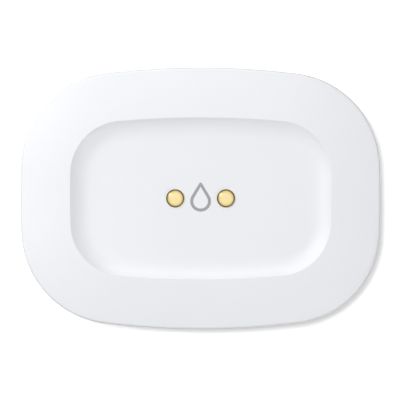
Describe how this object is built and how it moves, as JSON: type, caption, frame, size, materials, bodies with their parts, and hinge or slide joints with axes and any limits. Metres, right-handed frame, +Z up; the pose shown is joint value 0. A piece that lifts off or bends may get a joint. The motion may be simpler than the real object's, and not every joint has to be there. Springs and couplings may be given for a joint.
{
  "type": "water leak sensor",
  "caption": "Low white water leak sensor with a shallow drip tray on top, two gold contacts in it, base contacts and a twist-off battery door.",
  "frame": {"origin": "on the floor, under the middle of the case", "axes": "+X along the long side of the case, +Y towards its far long side, +Z up out of the tray"},
  "size_m": [0.11, 0.08, 0.026],
  "materials": {
    "white_shell": "fine satin gloss moulded white",
    "white_base": "fine matt moulded white",
    "white_door": "fine matt moulded white",
    "grey_rubber": "soft silicone",
    "black_rubber": "soft silicone",
    "gold": "gold plated, polished",
    "steel": "nickel plated",
    "spring_bronze": "rolled spring strip",
    "cell_wrap": "shrink wrap",
    "black_plastic": "moulded",
    "green_board": "solder mask over glass fibre",
    "lamp": "clear resin over phosphor",
    "clear_plastic": "clear moulded",
    "white_membrane": "stretched membrane",
    "foam": "closed cell foam",
    "grey_button": "soft moulded silicone",
    "antenna_ceramic": "fired ceramic",
    "chip_black": "moulded resin",
    "capacitor_tan": "fired ceramic with tinned ends"
  },
  "bodies": {
    "case": {"top_cover": "white_shell", "bottom_case": "white_base", "seam_gasket": "grey_rubber", "left_top_contact": "gold", "right_top_contact": "gold", "top_contact_seals": "black_rubber", "top_contact_nuts": "steel", "left_contact_strip": "spring_bronze", "right_contact_strip": "spring_bronze", "base_contacts": "gold", "base_contact_seals": "black_rubber", "base_contact_nuts": "steel", "base_contact_springs": "spring_bronze", "rubber_feet": "grey_rubber", "case_screws": "steel", "battery_cell": "cell_wrap", "battery_holder": "black_plastic", "positive_contact": "steel", "negative_contact": "steel", "main_board": "green_board", "board_screws": "steel", "status_led": "lamp", "light_guide": "clear_plastic", "sounder": "black_plastic", "sound_membrane": "white_membrane", "sounder_gasket": "foam", "switch_body": "black_plastic", "radio_board": "green_board", "shield_can": "steel", "antenna": "antenna_ceramic", "processor": "chip_black", "memory_chip": "chip_black", "power_regulator": "chip_black", "crystal": "steel", "climate_sensor": "chip_black", "inductor": "chip_black", "capacitors": "capacitor_tan"},
    "door_seal": {"door_seal": "black_rubber"},
    "battery_door": {"battery_door": "white_door", "cell_pad": "foam"},
    "setup_button": {"setup_button": "grey_button"},
    "switch_plunger": {"switch_plunger": "grey_button"}
  },
  "joints": [
    {"name": "door_lift", "type": "slide", "parent": "case", "child": "door_seal", "axis": [0, 0, -1], "range_m": [0, 0.0012]},
    {"name": "door_turn", "type": "hinge", "parent": "door_seal", "child": "battery_door", "pos_m": [0, -0.008, 0.0016], "axis": [0, 0, -1], "range_deg": [0, 60]},
    {"name": "button_press", "type": "slide", "parent": "case", "child": "setup_button", "axis": [0, 0, 1], "range_m": [0, 0.0005], "stiffness_N_per_m": 300, "springref_m": -0.0005},
    {"name": "plunger_press", "type": "slide", "parent": "case", "child": "switch_plunger", "axis": [0, 0, 1], "range_m": [0, 0.0005]}
  ],
  "couplings": [
    {"joint": "door_lift", "follows": "door_turn", "m_per_rad": 0.0011459},
    {"joint": "plunger_press", "follows": "button_press", "ratio": 1}
  ]
}
